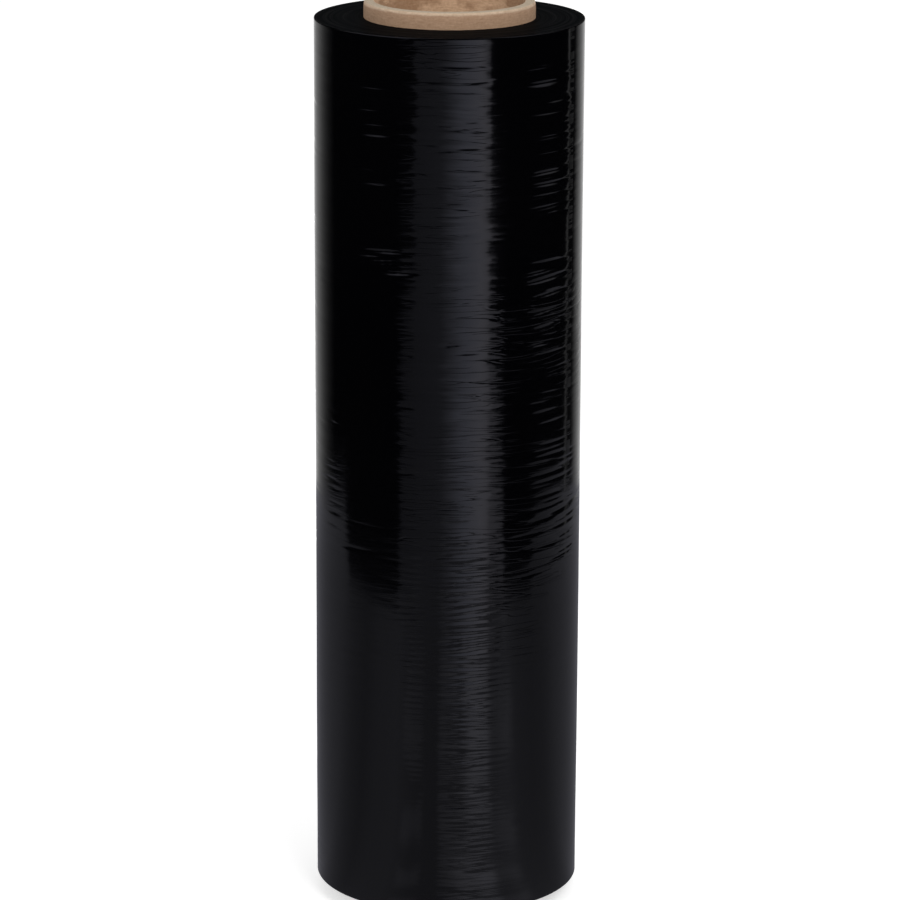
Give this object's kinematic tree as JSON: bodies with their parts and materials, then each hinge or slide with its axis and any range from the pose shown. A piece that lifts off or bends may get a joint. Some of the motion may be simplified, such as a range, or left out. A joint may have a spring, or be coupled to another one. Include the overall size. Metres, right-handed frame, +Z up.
{
  "type": "stretch wrap roll",
  "caption": "Roll of black stretch film on a paperboard core that stands out at both ends; a rod or dispenser goes through the core, and the film wraps pallets.",
  "frame": {"origin": "middle of the core's foot, on the roll's axis, in the plane that the roll stands on", "axes": "+Z up the roll's axis; -Y towards the side that faces the camera in the picture, +X to its right"},
  "size_m": [0.1378, 0.138, 0.4742],
  "materials": {
    "black_film": "glossy black polyethylene film, finely wrinkled",
    "core_board": "matte brown kraft paperboard"
  },
  "bodies": {
    "root": {"film_roll": "black_film", "paper_core": "core_board"}
  },
  "joints": []
}
